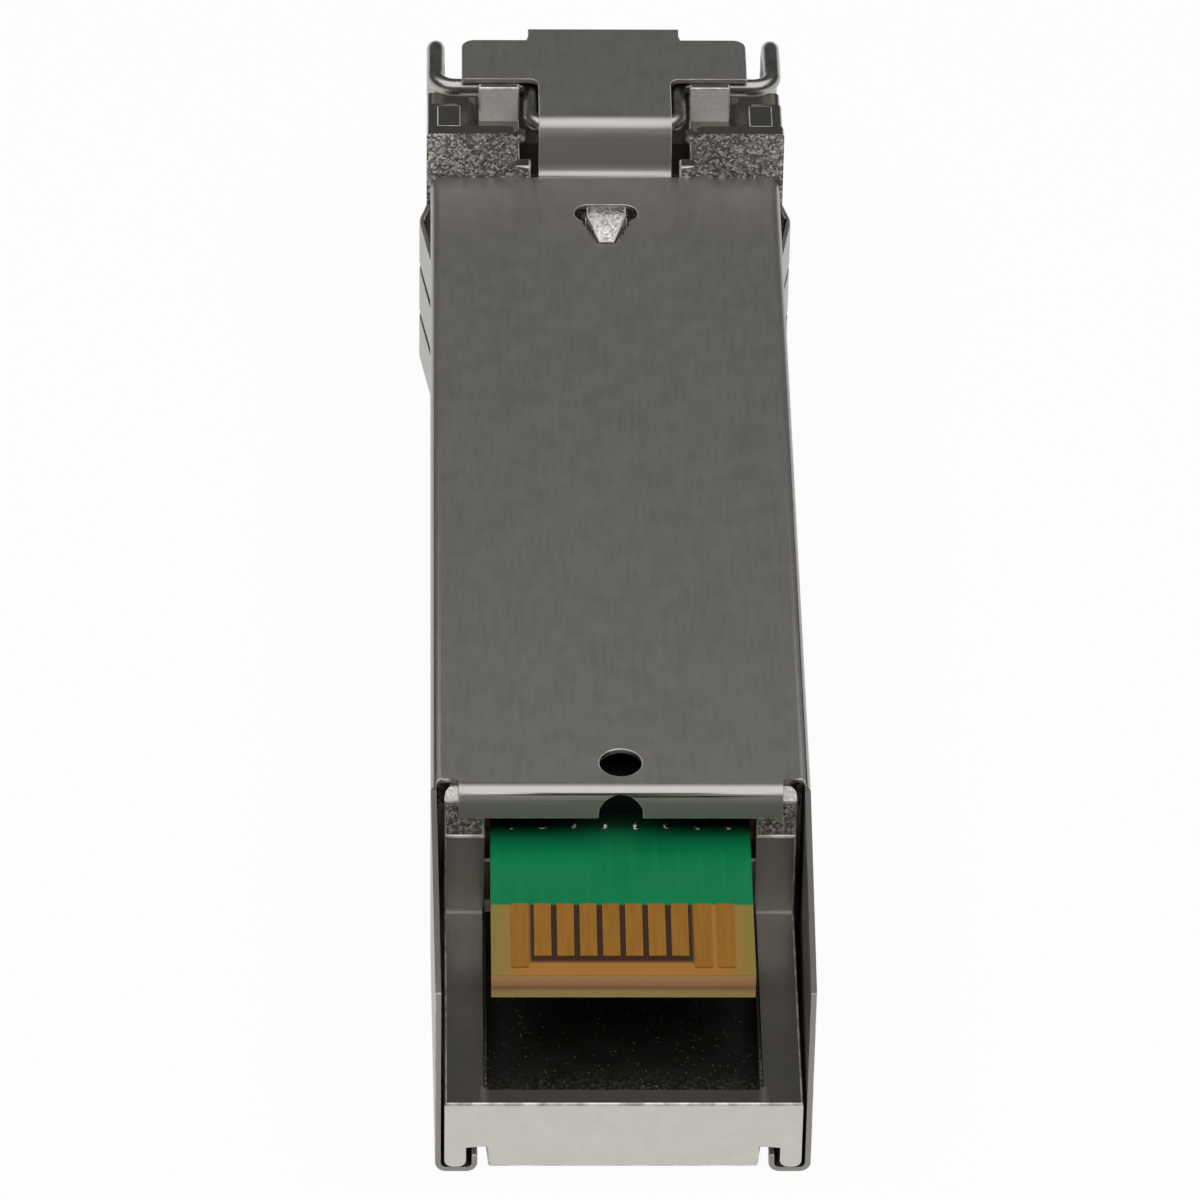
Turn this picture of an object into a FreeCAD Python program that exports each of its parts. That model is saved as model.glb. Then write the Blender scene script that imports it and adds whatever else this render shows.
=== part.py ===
import FreeCAD, Part
import math
import os

# Pluggable optical transceiver with a wire bail, lying on its label face, latch side up.
# Millimetres. X runs across, +Y towards the optical nose, +Z up from the hem that it rests on.
# Y = 0 is the middle of the length.

# Sleeve and the lengths that place it in a cage
sleeve_width = 13.4
sleeve_height = 8.5
latch_to_rear = 45.0
latch_to_stop = 2.5
nose_length = 9.0
opening_length = 10.4
board_setback = 3.2

# Folded cover
sheet = 0.2
sheet_bend = 0.3
flange_bend = 0.45
hump_bend = 0.55
hem_lip_height = 0.75
side_edge_drop = 0.3
side_lead_in = 0.15
flange_height = 1.17
notch_width = 1.56
notch_height = 0.98
relief_width = 0.78
relief_length = 0.25
relief_round = 0.2
cover_hole = 1.5
cover_hole_inset = 1.7
window_slot_length = 2.42
window_slot_width = 1.1
window_ahead = 0.7
window_clear = 0.13
window_tip_round = 0.33
finger_count = 3
finger_pitch = 2.25
finger_slot = 0.35
finger_top_drop = 1.0
finger_length = 4.2
finger_proud = 0.45
finger_crest = 3.0
finger_bend = 1.0
finger_tip_gap = 0.15
finger_tip_out = 0.15
hump_rise = 2.25
hump_setback = 0.3
hump_width = 5.1
plate_overhang = 0.2
plate_rear = 3.35
plate_length = 2.63
plate_corner = 0.5
neck_fillet = 0.35
tab_width = 6.0
tab_length = 1.0
tab_depth = 1.25
tab_taper = 0.08

# Die-cast body
side_clear = 0.05
hem_clear = 0.02
hook_clear = 0.05
seat_round = 0.3
rail_gap = 0.28
rail_setback = 1.6
rim_height = 3.12
foot_width = 0.75
groove_width = 0.77
groove_height = 0.88
groove_draft = 0.08
bay_step = 0.4
optics_wall = 0.5
floor_wall = 1.0
bend_chamfer = 0.4
tray_side_wall = 1.35
tray_rear_wall = 0.75
tray_floor = 0.7
tray_corner = 0.25
bulkhead = 1.0
bulkhead_proud = 0.08
bulkhead_lower_top = 6.6
flange_clear = 0.03
board_ledge = 0.9

# Nose of the casting
collar_proud = 0.15
shelf_length = 4.9
cheek_length = 2.95
collar_foot = 0.05
collar_round = 0.2
shelf_rise = 0.5
cheek_rise = 1.35
cheek_width = 1.3
cheek_pad = 0.15
cheek_pad_inset = 0.4
cheek_pad_rear = 1.25
cheek_pad_length = 1.4
block_depth = 0.5
block_setback = 0.12
block_rise = 2.05
block_round = 0.35
nub_radius = 0.18
nub_drop = 0.3
nub_out = 0.15
nub_setback = 0.1
hump_side_clear = 0.3
nose_inset = 0.85
neck_inset = 0.55
nose_height = 8.6
nose_shoulder = 6.75
nose_round = 0.4
bridge_inset = 0.45
bridge_rear = 3.0
bridge_step = 1.2
bridge_round = 0.3
bridge_cover = 0.3
bridge_nose_inset = 0.4
bridge_clear = 0.03

# Optical ports and subassemblies
port_wall = 0.425
port_size = 4.6
port_back_ahead = 0.45
port_lead_in = 0.3
optical_height = 4.2
key_width = 3.3
key_height = 1.0
catch_width = 4.4
catch_length = 1.6
catch_inset = 3.4
port_back_wall = 0.8
barrel_diameter = 2.9
barrel_reach = 4.0
barrel_clear = 0.1
barrel_flange = 3.8
barrel_flange_length = 0.8
barrel_neck = 3.2
barrel_neck_length = 0.8
barrel_holder = 4.0
barrel_holder_length = 3.6
barrel_lead_in = 0.25
sleeve_bore = 1.26
sleeve_outer = 1.7
sleeve_fit = 0.02
sleeve_length = 4.35
sleeve_slit = 0.2
can_header = 4.2
can_header_length = 1.3
can_cap = 3.1
can_cap_length = 1.8
can_fit = 0.03
lead_diameter = 0.4
lead_circle = 2.0
lead_count = 4
lead_sides = 8
flex = 0.12
flex_width = 3.8
flex_gap = 0.5
flex_bend = 0.4
flex_foot = 1.3
flex_on_board = 2.8
retainer_play = 0.05
retainer_rise = 2.5
retainer_dip_width = 3.4
spring_seat = 1.8
seat_pad = 1.6
seat_pad_thick = 0.5

# Wire bail
wire = 0.7
wire_play = 0.15
saddle_clear = 0.05
bail_ahead = 3.75
crank = 2.45
crank_width = 5.56
crank_bend = 0.5
shoulder_bend = 0.75
arm_reach = 2.93
arm_bend = 0.7
handle_bend = 1.2
handle_clear = 0.15
handle_lift = 0.07
seam_offset = 1.6
seam_gap = 0.1
bend_steps = 2
crank_side_clear = 0.15
arm_side_clear = 0.3
crank_floor_clear = 0.3

# Latch lever
lever_arm = 9.75
lever_gap = 0.05
lever_width = 1.6
lever_thick = 1.05
lever_clear = 0.2
lever_drop_clear = 0.15
well_floor = 0.6
lever_travel_deg = 3.2
hub_wall = 0.22
hub_width = 9.8
pin_diameter = 0.8
pin_clear = 0.03
pin_seat_clear = 0.01
pin_seat = 0.55
tongue_width = 0.9
tongue_thick = 0.6
tongue_short = 1.8
boss_height = 0.45
boss_width = 1.5
boss_flat = 0.58
boss_length = 1.7
boss_tip_width = 0.57
spring_width = 1.2
spring_sheet = 0.1
spring_bend = 0.15
spring_reach = 1.3
spring_clear = 0.02

# Circuit board and what is soldered to it
board_drop = 2.25
board_thick = 1.0
board_width = 9.2
board_slot_clear = 0.2
board_side_clear = 0.2
pad_count = 10
pad_pitch = 0.8
pad_width = 0.6
pad_thick = 0.05
pad_root = 3.8
pad_short_end = 1.0
pad_long_end = 0.41
long_pads = (0, 8, 9)
film = 0.1
film_clear = 0.02
chip_small = 3.0
chip_large = 4.0
chip_thick = 0.85
chip_offset = 2.4
controller_row = 2.4
memory_row = 8.9
chip_front_row = 5.6
passive_length = 1.0
passive_width = 0.5
capacitor_thick = 0.5
resistor_thick = 0.35
bead_thick = 0.6
passive_pitch = 1.3
resistor_count = 6
resistor_row = 5.2
capacitor_count = 5
capacitor_rows = (6.5, 11.3)
bead_count = 4
bead_row = 12.6

# Limits below which an edge or a turn is left out of an outline
smallest_edge = 1e-6
smallest_turn = 1e-6

# Corner style of a swept wire
mitred = 1

# How far a cutting solid runs past what it cuts
overshoot = 1.0

# Stations along Y
module_length = latch_to_rear + latch_to_stop + nose_length
rear_y = -module_length / 2
front_y = module_length / 2
latch_y = rear_y + latch_to_rear
opening_y = rear_y + opening_length
stop_y = latch_y + latch_to_stop
board_end_y = rear_y + board_setback
bulkhead_y = opening_y + sheet + flange_clear
bulkhead_front_y = bulkhead_y + bulkhead
seat_y = opening_y + rail_setback
block_front_y = stop_y + block_depth
front_face_y = front_y - wire - handle_clear
port_back_y = latch_y + port_back_ahead
wall_rear_y = port_back_y - port_back_wall
neck_front_y = wall_rear_y - barrel_flange_length
neck_rear_y = neck_front_y - barrel_neck_length
holder_rear_y = neck_rear_y - barrel_holder_length
header_rear_y = holder_rear_y - can_header_length
flex_y = header_rear_y - flex_gap
board_front_y = flex_y - flex / 2 - flex_bend - flex / 2
barrel_tip_y = port_back_y + barrel_reach
sleeve_front_y = barrel_tip_y - barrel_lead_in
sleeve_rear_y = sleeve_front_y - sleeve_length
bail_y = stop_y + bail_ahead
hinge_y = latch_y - lever_arm
hump_face_y = stop_y + hump_setback
plate_rear_y = stop_y + plate_rear
plate_front_y = plate_rear_y + plate_length
tab_front_y = plate_front_y + tab_length
bridge_rear_y = stop_y + bridge_rear
bridge_front_y = tab_front_y - sheet - bridge_clear
bridge_step_y = bridge_rear_y + bridge_step
bridge_wide_y = plate_front_y - bridge_cover
tongue_tip_y = bail_y - tongue_short
lever_front_y = port_back_y - lever_clear

# Levels along Z
cover_under = sleeve_height - sheet
cast_foot = sheet + hem_clear
cavity_floor = cast_foot + floor_wall
tray_z = cast_foot + tray_floor
board_top = sleeve_height - board_drop
board_bottom = board_top - board_thick
hump_top = sleeve_height + hump_rise
plate_under = hump_top - sheet
bail_z = plate_under - wire_play - wire / 2
shelf_top = sleeve_height + shelf_rise
cheek_top = sleeve_height + cheek_rise
block_top = sleeve_height + block_rise
port_top = optical_height + port_size / 2
port_bottom = optical_height - port_size / 2
crank_floor = bail_z - crank - wire / 2 - crank_floor_clear
lever_top = cover_under - lever_gap
lever_under = lever_top - lever_thick
hub_radius = pin_diameter / 2 + pin_clear + hub_wall
hinge_z = lever_top - hub_radius
seat_z = optical_height + spring_seat

# Half widths along X
sleeve_half = sleeve_width / 2
cast_half = sleeve_half - sheet - side_clear
rail_half = sleeve_half - sheet - rail_gap
flange_half = sleeve_half - sheet - relief_width
optics_half = cast_half - optics_wall
tray_half = rail_half - tray_side_wall
foot_inner = rail_half - foot_width
groove_inner = foot_inner - groove_width
collar_half = sleeve_half + collar_proud
slot_half = board_width / 2 + board_slot_clear
cavity_half = slot_half + bay_step
nose_half = sleeve_half - nose_inset
port_pitch = 2 * nose_half - 2 * port_wall - port_size
neck_half = nose_half - neck_inset
bridge_half = neck_half - bridge_inset
bridge_nose_half = tab_width / 2 - bridge_nose_inset
plate_half = neck_half + plate_overhang
board_half = cavity_half - board_side_clear
crank_half = crank_width / 2
pocket_half = crank_half + wire / 2 + crank_side_clear
hump_gap_half = hump_width / 2 + hump_side_clear
block_inner = pocket_half + block_setback
arm_x = nose_half + arm_side_clear + wire / 2
lever_channel_half = window_slot_length / 2 + lever_clear
tongue_channel_half = tongue_width / 2 + lever_clear
pin_half = cavity_half + pin_seat


def drop_at(y):
    """How far the lever sinks at station y when the bail is fully open."""
    return (y - hinge_y) * math.sin(math.radians(lever_travel_deg))


def vector(x, y, z):
    return FreeCAD.Vector(x, y, z)


def box(x0, x1, y0, y1, z0, z1):
    return Part.makeBox(x1 - x0, y1 - y0, z1 - z0, vector(x0, y0, z0))


def rod_x(radius, x0, x1, y, z):
    return Part.makeCylinder(radius, x1 - x0, vector(x0, y, z), vector(1, 0, 0))


def rod_y(radius, x, y0, y1, z):
    return Part.makeCylinder(radius, y1 - y0, vector(x, y0, z), vector(0, 1, 0))


def across(y):
    """Drawing plane that cuts the module across, at station y."""
    return lambda u, v: vector(u, y, v)


def along(x):
    """Drawing plane that cuts the module lengthwise, at x."""
    return lambda u, v: vector(x, u, v)


def level(z):
    """Horizontal drawing plane at height z."""
    return lambda u, v: vector(u, v, z)


def mirrored(shape):
    return shape.mirror(vector(0, 0, 0), vector(1, 0, 0))


def both_sides(shape):
    return shape.fuse(mirrored(shape))


def joined(shapes):
    first = shapes[0]
    return first.multiFuse(shapes[1:]).removeSplitter()


def rounded_chain(points, radii):
    """Edges through points, with an arc of each inner point's radius. The ends stay sharp."""
    edges = []
    start = points[0]
    for before, corner, after, radius in zip(points, points[1:], points[2:], radii):
        back = (before - corner).normalize()
        ahead = (after - corner).normalize()
        half = back.getAngle(ahead) / 2
        if radius > 0 and half < math.pi / 2 - smallest_turn:
            reach = radius / math.tan(half)
            middle = (back + ahead).normalize() * (radius / math.sin(half) - radius)
            arc = (corner + back * reach, corner + middle, corner + ahead * reach)
            if start.distanceToPoint(arc[0]) > smallest_edge:
                edges.append(Part.LineSegment(start, arc[0]).toShape())
            edges.append(Part.Arc(*arc).toShape())
            start = arc[2]
        else:
            edges.append(Part.LineSegment(start, corner).toShape())
            start = corner
    edges.append(Part.LineSegment(start, points[-1]).toShape())
    return edges


def stepped_points(edges, steps):
    """Points along a chain of edges, with its arcs cut into a few equal steps."""
    points = [edges[0].valueAt(edges[0].FirstParameter)]
    for edge in edges:
        parts = steps if isinstance(edge.Curve, Part.Circle) else 1
        for step in range(1, parts + 1):
            share = step / parts
            points.append(edge.valueAt(edge.FirstParameter * (1 - share) + edge.LastParameter * share))
    return points


def outline(corners, plane):
    """Closed face from corners (u, v, radius)."""
    points = [plane(u, v) for u, v, radius in corners]
    middle = (points[-1] + points[0]) * 0.5
    chain = [middle] + points + [middle]
    edges = rounded_chain(chain, [radius for u, v, radius in corners])
    return Part.Face(Part.Wire(edges))


def mirrored_corners(half):
    """A closed outline that is the same on both sides of X = 0, from its right half."""
    return half + [(-u, v, radius) for u, v, radius in reversed(half)]


def bent_strip(centre, bend, thickness, plane):
    """Face of a strip of even thickness whose middle follows the points centre."""
    ends = []
    for side in (1, -1):
        points = [FreeCAD.Vector(u, v, 0) for u, v in centre]
        runs = [(b - a).normalize() for a, b in zip(points, points[1:])]
        lefts = [FreeCAD.Vector(-run.y, run.x, 0) * (side * thickness / 2) for run in runs]
        moved = [points[0] + lefts[0]]
        radii = []
        for corner, before, after, left in zip(points[1:], runs, runs[1:], lefts):
            turn = before.getAngle(after)
            bisector = (after - before).normalize()
            inward = 1 if bisector.dot(left) > 0 else -1
            shift = thickness / 2 / math.cos(turn / 2)
            moved.append(corner + bisector * (inward * shift))
            radii.append(bend - inward * thickness / 2)
        moved.append(points[-1] + lefts[-1])
        placed = [plane(point.x, point.y) for point in moved]
        ends.append((placed, rounded_chain(placed, radii)))
    (left, left_edges), (right, right_edges) = ends
    caps = [Part.LineSegment(left[0], right[0]).toShape(), Part.LineSegment(left[-1], right[-1]).toShape()]
    wire_edges = Part.sortEdges(left_edges + right_edges + caps)[0]
    return Part.Face(Part.Wire(wire_edges))


def extruded(face, x=0, y=0, z=0):
    return face.extrude(vector(x, y, z))


def cover_side_points():
    """Middle line of one side wall with its hem and the lip that hooks into the casting."""
    lip_x = foot_inner - hook_clear - sheet / 2
    wall_x = sleeve_half - sheet / 2
    return [(lip_x, hem_lip_height), (lip_x, sheet / 2), (wall_x, sheet / 2)]


def cover_sleeve():
    """The cover's U section from the rear bend to the stop, and behind it its open walls, leaning in."""
    side = cover_side_points()
    wall_x = sleeve_half - sheet / 2
    top_z = sleeve_height - sheet / 2
    half = side + [(wall_x, top_z)]
    section = half + [(-u, v) for u, v in reversed(half)]
    bend_y = opening_y + sheet / 2 + flange_bend
    sleeve = extruded(bent_strip(section, sheet_bend, sheet, across(bend_y)), y=stop_y - bend_y)
    open_wall = side + [(wall_x, sleeve_height - side_edge_drop)]
    wall_end = bent_strip(open_wall, sheet_bend, sheet, across(bend_y))
    rear_side = extruded(wall_end, x=-side_lead_in, y=rear_y - bend_y)
    return [sleeve, rear_side, mirrored(rear_side)]


def cover_flange():
    """Short flange bent down over the rear opening, with an arched notch in its middle."""
    middle_y = opening_y + sheet / 2
    top_z = sleeve_height - sheet / 2
    bottom_z = sleeve_height - flange_height
    line = [(middle_y, bottom_z), (middle_y, top_z), (middle_y + 2 * flange_bend, top_z)]
    flange = extruded(bent_strip(line, flange_bend, sheet, along(-flange_half)), x=2 * flange_half)
    radius = notch_width / 2
    notch_top = bottom_z + notch_height
    notch = [(-radius, bottom_z - sheet, 0), (radius, bottom_z - sheet, 0),
             (radius, notch_top, radius), (-radius, notch_top, radius)]
    cutter = extruded(outline(notch, across(opening_y - sheet)), y=sheet + flange_bend)
    return flange.cut(cutter)


def cover_front():
    """Hump over the crank, neck, wing plate over the saddles, and the tab bent down in front."""
    low_z = sleeve_height - sheet / 2
    high_z = hump_top - sheet / 2
    face_y = hump_face_y + sheet / 2
    neck_y = face_y + 2 * hump_bend
    hump_line = [(stop_y - hump_bend, low_z), (face_y, low_z), (face_y, high_z), (neck_y, high_z)]
    hump_face = bent_strip(hump_line, hump_bend, sheet, along(-hump_width / 2))
    hump = extruded(hump_face, x=hump_width)
    tab_y = tab_front_y - sheet / 2
    root_y = tab_y - 2 * sheet_bend
    wing = [(hump_width / 2, neck_y, 0), (hump_width / 2, plate_rear_y, neck_fillet),
            (plate_half, plate_rear_y, 0), (plate_half, plate_front_y, plate_corner),
            (tab_width / 2, plate_front_y, 0), (tab_width / 2 - tab_taper, root_y, 0)]
    plate = extruded(outline(mirrored_corners(wing), level(plate_under)), z=sheet)
    tab_half = tab_width / 2 - tab_taper
    tab_line = [(root_y, high_z), (tab_y, high_z), (tab_y, hump_top - tab_depth)]
    tab = extruded(bent_strip(tab_line, sheet_bend, sheet, along(-tab_half)), x=2 * tab_half)
    return [hump, plate, tab]


def latch_window():
    """Opening for the boss: a slot with round ends and a tapered tongue behind it."""
    slot_y = latch_y + window_ahead - window_slot_width / 2
    round_end = window_slot_width / 2
    slot = [(window_slot_length / 2, slot_y - round_end, round_end),
            (window_slot_length / 2, slot_y + round_end, round_end)]
    tip_half = boss_tip_width / 2 + window_clear
    root_half = boss_width / 2 + window_clear
    taper = [(tip_half, latch_y - boss_length - window_clear, window_tip_round),
             (root_half, latch_y - boss_flat, 0), (root_half, slot_y, 0)]
    faces = [outline(mirrored_corners(half), level(cover_under - sheet)) for half in (slot, taper)]
    return joined([extruded(face, z=3 * sheet) for face in faces])


def finger_rows():
    """Lower and upper edge of each spring finger."""
    lowest = sleeve_height - finger_top_drop - finger_count * finger_pitch
    starts = [lowest + row * finger_pitch + finger_slot / 2 for row in range(finger_count)]
    return [(start, start + finger_pitch - finger_slot) for start in starts]


def spring_fingers():
    """Bowed fingers of one side wall, rooted at the rear and free at the stop."""
    root_y = stop_y - finger_length
    tip_y = stop_y - finger_tip_gap
    wall_x = sleeve_half - sheet / 2
    line = [(wall_x, root_y), (wall_x, root_y + sheet_bend), (wall_x + finger_proud, root_y + finger_crest),
            (wall_x + finger_tip_out, tip_y)]
    fingers = []
    for low, high in finger_rows():
        fingers.append(extruded(bent_strip(line, finger_bend, sheet, level(low)), z=high - low))
    return fingers


def finger_gap():
    """Cut in one side wall that frees the fingers."""
    rows = finger_rows()
    low = rows[0][0] - finger_slot
    high = rows[-1][1] + finger_slot
    return box(sleeve_half - 2 * sheet, sleeve_half + sheet, stop_y - finger_length, stop_y + sheet,
               low, high)


def bottom_cover():
    sleeve, right_wall, left_wall = cover_sleeve()
    fingers = spring_fingers()
    cuts = [latch_window(), finger_gap(), mirrored(finger_gap())]
    hole_y = opening_y + cover_hole_inset
    cuts.append(Part.makeCylinder(cover_hole / 2, 3 * sheet, vector(0, hole_y, cover_under - sheet)))
    bend_y = opening_y + sheet / 2 + flange_bend
    relief = [(flange_half, bend_y - sheet, 0), (flange_half + relief_width, bend_y - sheet, 0),
              (flange_half + relief_width, bend_y + relief_length, relief_round),
              (flange_half, bend_y + relief_length, relief_round)]
    relief_cut = extruded(outline(relief, level(cover_under - sheet)), z=3 * sheet)
    cuts += [relief_cut, mirrored(relief_cut)]
    solid = joined([sleeve, right_wall, left_wall, cover_flange()] + cover_front())
    solid = solid.cut(Part.makeCompound(cuts))
    return joined([solid] + fingers + [mirrored(finger) for finger in fingers])


def channel_section(half_width, top, top_round):
    """Right half of the casting's section: flat label face, hook groove, foot and side."""
    groove_top = cast_foot + groove_height
    return [(groove_inner, cast_foot, 0), (groove_inner + groove_draft, groove_top, 0),
            (foot_inner, groove_top, 0), (foot_inner, cast_foot, seat_round),
            (half_width, cast_foot, seat_round), (half_width, top, top_round)]


def channel(half_width, top, top_round, y0, y1):
    section = mirrored_corners(channel_section(half_width, top, top_round))
    return extruded(outline(section, across(y0)), y=y1 - y0)


def cast_shell():
    """Tray rails, narrow rear walls, wide front walls, and the proud lower face of the bulkhead."""
    lower_face_y = opening_y - bulkhead_proud
    proud = box(slot_half, rail_half, lower_face_y, bulkhead_y, cavity_floor, bulkhead_lower_top)
    return [channel(rail_half, rim_height, 0, rear_y, bulkhead_front_y),
            channel(rail_half, cover_under, seat_round, bulkhead_y, seat_y),
            channel(cast_half, cover_under, seat_round, seat_y, stop_y), both_sides(proud)]


def cast_nose():
    """Collar with stop blocks and cheeks, the narrow nose, and the bridge that carries the bail."""
    cheek_inner = collar_half - cheek_width
    collar_section = [(collar_half, collar_foot, collar_round), (collar_half, shelf_top, collar_round)]
    collar = extruded(outline(mirrored_corners(collar_section), across(stop_y)), y=shelf_length)
    cheek_corners = [(cheek_inner, shelf_top - collar_round, 0), (collar_half, shelf_top - collar_round, 0),
                     (collar_half, cheek_top, collar_round), (cheek_inner, cheek_top, collar_round)]
    cheek = extruded(outline(cheek_corners, across(stop_y)), y=cheek_length)
    pad_y = stop_y + cheek_pad_rear
    pad = box(cheek_inner, collar_half - cheek_pad_inset, pad_y, pad_y + cheek_pad_length, cheek_top,
              cheek_top + cheek_pad)
    block_corners = [(block_inner, cover_under, 0), (collar_half, cover_under, 0),
                     (collar_half, block_top, block_round / 2), (block_inner, block_top, block_round)]
    block = extruded(outline(block_corners, across(stop_y)), y=block_depth)
    nub = rod_y(nub_radius, block_inner - nub_out, stop_y + nub_setback, block_front_y, block_top - nub_drop)
    nose_section = [(nose_half, cast_foot, nose_round), (nose_half, nose_shoulder, nose_round),
                    (neck_half, nose_shoulder + neck_inset, nose_round), (neck_half, nose_height, nose_round)]
    nose = extruded(outline(mirrored_corners(nose_section), across(stop_y)), y=front_face_y - stop_y)
    bridge_plan = [(bridge_half, bridge_rear_y, 0), (bridge_half, bridge_step_y, bridge_round),
                   (neck_half, bridge_step_y, bridge_round), (neck_half, bridge_wide_y, bridge_round),
                   (bridge_nose_half, bridge_wide_y, 0), (bridge_nose_half, bridge_front_y, 0)]
    bridge = extruded(outline(mirrored_corners(bridge_plan), level(port_top)), z=plate_under - port_top)
    return [collar, nose, bridge] + [both_sides(piece) for piece in (cheek, pad, block, nub)]


def port_cut(x):
    """One optical port: square mouth with a lead-in, key slot with a catch below, barrel hole behind."""
    half = port_size / 2
    past = front_face_y + overshoot
    square = box(x - half, x + half, port_back_y, past, port_bottom, port_top)
    key = box(x - key_width / 2, x + key_width / 2, port_back_y, past, port_bottom - key_height, port_bottom)
    catch_y = front_face_y - catch_inset
    catch = box(x - catch_width / 2, x + catch_width / 2, catch_y - catch_length, catch_y,
                port_bottom - key_height, port_bottom)
    hole = barrel_diameter / 2 + barrel_clear
    barrel = rod_y(hole, x, wall_rear_y - overshoot, port_back_y, optical_height)
    flare = half + port_lead_in
    wide = [(x - flare, optical_height - flare, 0), (x + flare, optical_height - flare, 0),
            (x + flare, optical_height + flare, 0), (x - flare, optical_height + flare, 0)]
    narrow = [(x + (u - x) * half / flare, optical_height + (v - optical_height) * half / flare, 0)
              for u, v, radius in wide]
    mouth = Part.makeLoft([outline(narrow, across(front_face_y - port_lead_in)).OuterWire,
                           outline(wide, across(front_face_y)).OuterWire], True)
    return [square, key, catch, barrel, mouth]


def cast_cavities():
    """Everything cut from the casting, from the rear tray to the ports and the crank's pocket."""
    tray_corners = [(-tray_half, rear_y + tray_rear_wall, tray_corner),
                    (tray_half, rear_y + tray_rear_wall, tray_corner),
                    (tray_half, opening_y - bulkhead_proud, 0), (-tray_half, opening_y - bulkhead_proud, 0)]
    tray = extruded(outline(tray_corners, level(tray_z)), z=rim_height)
    over_board = box(-slot_half, slot_half, bulkhead_y - overshoot, bulkhead_front_y, board_bottom,
                     sleeve_height)
    ledge_half = cavity_half - board_ledge
    bay_low = box(-ledge_half, ledge_half, bulkhead_front_y, board_front_y, cavity_floor, board_bottom)
    bay_high = box(-cavity_half, cavity_half, bulkhead_front_y, board_front_y, board_bottom, sleeve_height)
    optics = box(-optics_half, optics_half, board_front_y, wall_rear_y, cavity_floor, sleeve_height)
    cuts = [tray, over_board, bay_low, bay_high, optics]
    for x in (-port_pitch / 2, port_pitch / 2):
        cuts += port_cut(x)
    lever_floor = lever_under - drop_at(lever_front_y) - lever_drop_clear
    cuts.append(box(-lever_channel_half, lever_channel_half, wall_rear_y, port_back_y, lever_floor,
                    sleeve_height))
    well_front = latch_y + window_ahead + lever_clear
    cuts.append(box(-lever_channel_half, lever_channel_half, port_back_y, well_front, port_top + well_floor,
                    sleeve_height))
    tongue_floor = lever_top - tongue_thick - drop_at(tongue_tip_y) - lever_drop_clear
    cuts.append(box(-tongue_channel_half, tongue_channel_half, lever_front_y, tongue_tip_y + lever_clear,
                    tongue_floor, sleeve_height))
    pocket_front = bail_y + wire / 2 + crank_floor_clear
    cuts.append(box(-pocket_half, pocket_half, block_front_y, pocket_front, crank_floor, hump_top))
    cuts.append(box(-hump_gap_half, hump_gap_half, stop_y, block_front_y, cover_under, hump_top))
    for edge_y, edge_z, inward in ((bulkhead_y, cover_under, 1), (bridge_front_y, plate_under, -1)):
        cuts.append(bend_relief(edge_y, edge_z, inward))
    groove = saddle_clear + wire / 2
    bore = rod_x(groove, -collar_half, collar_half, bail_y, bail_z)
    throat = box(-collar_half, collar_half, bail_y - groove, bail_y + groove, bail_z, hump_top)
    cuts += [bore, throat]
    seat_radius = pin_diameter / 2 + pin_seat_clear
    cuts.append(rod_x(seat_radius, -pin_half, pin_half, hinge_y, hinge_z))
    cuts.append(box(-pin_half, pin_half, hinge_y - seat_radius, hinge_y + seat_radius, hinge_z,
                    sleeve_height))
    return cuts


def bend_relief(y, z, inward):
    """Chamfer on an edge of the casting that lies inside a bend of the cover."""
    corners = [(y, z, 0), (y, z - bend_chamfer, 0), (y + inward * bend_chamfer, z, 0)]
    return extruded(outline(corners, along(-sleeve_width)), x=2 * sleeve_width)


def barrel_web():
    """Cross wall of the casting with two half-round seats for the barrels' necks."""
    web = box(-optics_half, optics_half, neck_rear_y + retainer_play, neck_front_y - retainer_play,
              cavity_floor, optical_height)
    return web.cut(neck_holes())


def neck_holes():
    """Clearance holes for both barrels' necks."""
    radius = barrel_neck / 2 + retainer_play
    right = rod_y(radius, port_pitch / 2, neck_rear_y - overshoot, neck_front_y + overshoot, optical_height)
    return Part.makeCompound([right, mirrored(right)])


def die_cast_body():
    solid = joined(cast_shell() + cast_nose())
    for cut in cast_cavities():
        solid = solid.cut(cut)
    return joined([solid, barrel_web()])


def bail_wire():
    """One wire: crank under the hump, shoulders in the saddles, arms and handle, seam on the crank."""
    crank_y = bail_y - crank
    arm_front_y = bail_y + arm_reach
    handle_y = front_y - wire / 2
    handle_z = wire / 2 + handle_lift
    half = [(crank_half, crank_y, bail_z), (crank_half, bail_y, bail_z), (arm_x, bail_y, bail_z),
            (arm_x, arm_front_y, bail_z), (arm_x, handle_y, handle_z)]
    bends = [crank_bend, crank_bend, shoulder_bend, arm_bend, handle_bend]
    right = [vector(*point) for point in half]
    left = [vector(-x, y, z) for x, y, z in reversed(half)]
    start = vector(seam_offset + seam_gap / 2, crank_y, bail_z)
    end = vector(seam_offset - seam_gap / 2, crank_y, bail_z)
    edges = rounded_chain([start] + right + left + [end], bends + bends[::-1])
    path = Part.makePolygon(stepped_points(edges, bend_steps))
    section = Part.Wire(Part.makeCircle(wire / 2, start, vector(1, 0, 0)))
    return path.makePipeShell([section], True, False, mitred)


def latch_boss():
    """Boss with an upright shoulder to the front and a ramp that narrows to the rear."""
    low = lever_top - lever_thick / 2
    high = sleeve_height + boss_height
    plan = [(boss_tip_width / 2, latch_y - boss_length, 0), (boss_width / 2, latch_y - boss_flat, 0),
            (boss_width / 2, latch_y, 0)]
    block = extruded(outline(mirrored_corners(plan), level(low)), z=high - low)
    ramp = [(latch_y - boss_length, low, 0), (latch_y, low, 0), (latch_y, high, 0),
            (latch_y - boss_flat, high, 0), (latch_y - boss_length, sleeve_height, 0)]
    return block.common(extruded(outline(ramp, along(-boss_width)), x=2 * boss_width))


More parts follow.
